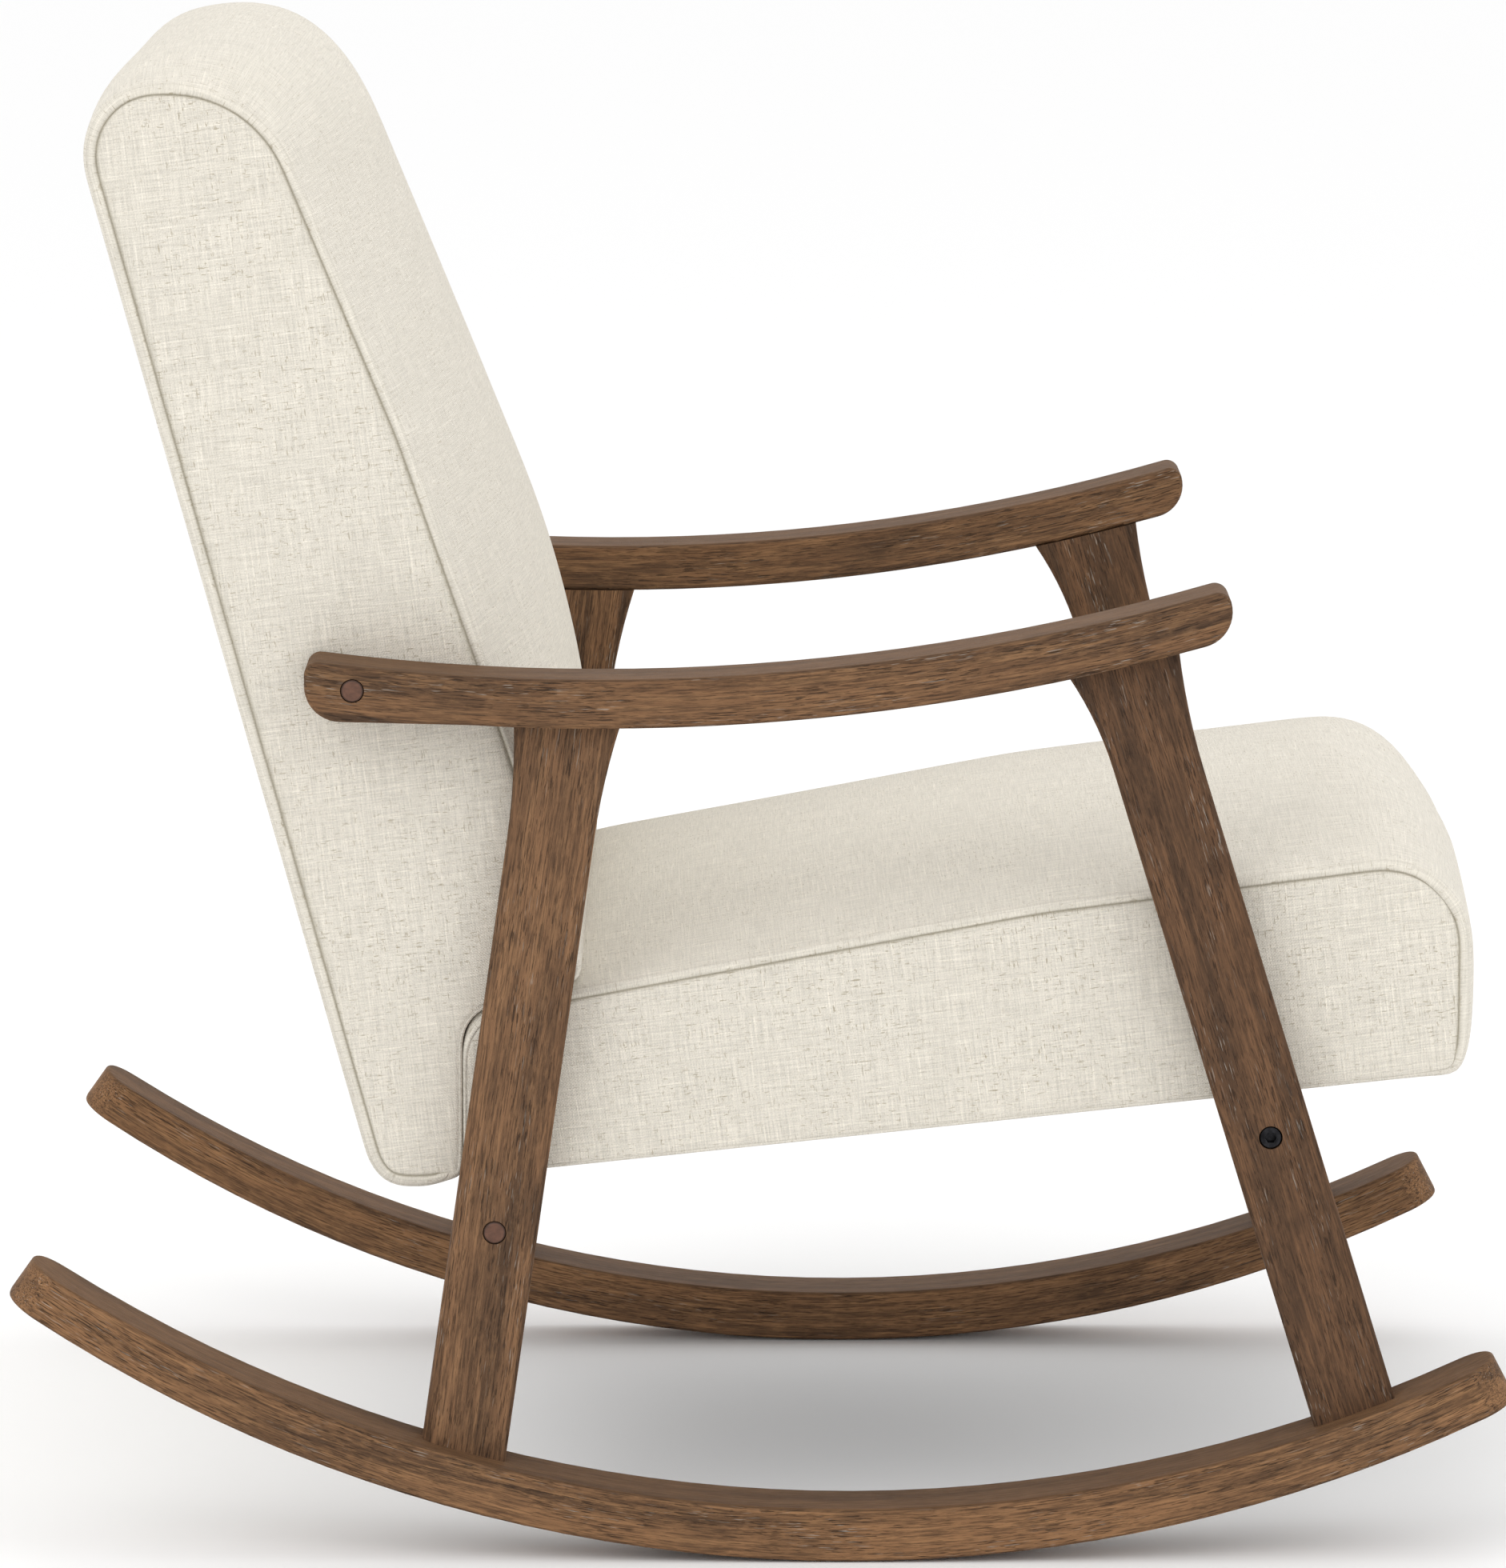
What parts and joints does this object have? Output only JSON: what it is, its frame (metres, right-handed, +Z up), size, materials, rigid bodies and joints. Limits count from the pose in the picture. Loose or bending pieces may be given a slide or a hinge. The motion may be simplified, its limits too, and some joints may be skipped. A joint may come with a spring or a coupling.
{
  "type": "upholstered rocking chair",
  "caption": "Wooden rocking chair with curved runners, splayed legs, swept open armrests and a padded linen seat and high reclined back.",
  "frame": {"origin": "on the floor, under the middle of the chair's overall length and width, with the chair level on its runners", "axes": "+X is the way the sitter faces, +Y is the sitter's left, +Z is up"},
  "size_m": [0.8871, 0.6216, 0.893],
  "materials": {
    "oiled_wood": "brown stained hardwood, open grain rubbed with a pale wax",
    "plug_wood": "smooth reddish brown stained hardwood",
    "frame_timber": "unfinished sawn timber, hidden",
    "black_steel": "black oxide cap screw",
    "zinc_steel": "bright zinc plated, hidden",
    "webbing": "black elastic webbing, hidden",
    "foam": "upholstery foam, hidden",
    "linen": "slubby natural linen weave, off white",
    "dust_cloth": "black non-woven lining"
  },
  "bodies": {
    "root": {"rocker_left": "oiled_wood", "armrest_left": "oiled_wood", "front_leg_left": "oiled_wood", "rear_leg_left": "oiled_wood", "rocker_right": "oiled_wood", "armrest_right": "oiled_wood", "front_leg_right": "oiled_wood", "rear_leg_right": "oiled_wood", "front_stretcher": "oiled_wood", "rear_stretcher": "oiled_wood", "stretcher_dowels": "frame_timber", "front_leg_bolts": "black_steel", "rear_leg_bolts": "black_steel", "armrest_bolts": "black_steel", "rear_leg_plugs": "plug_wood", "armrest_plugs": "plug_wood", "barrel_nuts": "zinc_steel", "armrest_inserts": "zinc_steel", "seat_fixing_bolts": "zinc_steel", "back_joint_bolts": "zinc_steel", "seat_rear_rail": "frame_timber", "seat_front_rail": "frame_timber", "seat_cross_rail": "frame_timber", "seat_side_rail_left": "frame_timber", "seat_side_rail_right": "frame_timber", "seat_corner_blocks": "frame_timber", "back_stile_left": "frame_timber", "back_stile_right": "frame_timber", "back_bottom_rail": "frame_timber", "back_middle_rail": "frame_timber", "back_top_rail": "frame_timber", "seat_webbing": "webbing", "back_webbing": "webbing", "seat_foam": "foam", "back_foam": "foam", "seat_cover": "linen", "back_cover": "linen", "seat_side_panel_left": "linen", "seat_side_panel_right": "linen", "back_side_panel_left": "linen", "back_side_panel_right": "linen", "seat_dust_cover": "dust_cloth"}
  },
  "joints": []
}
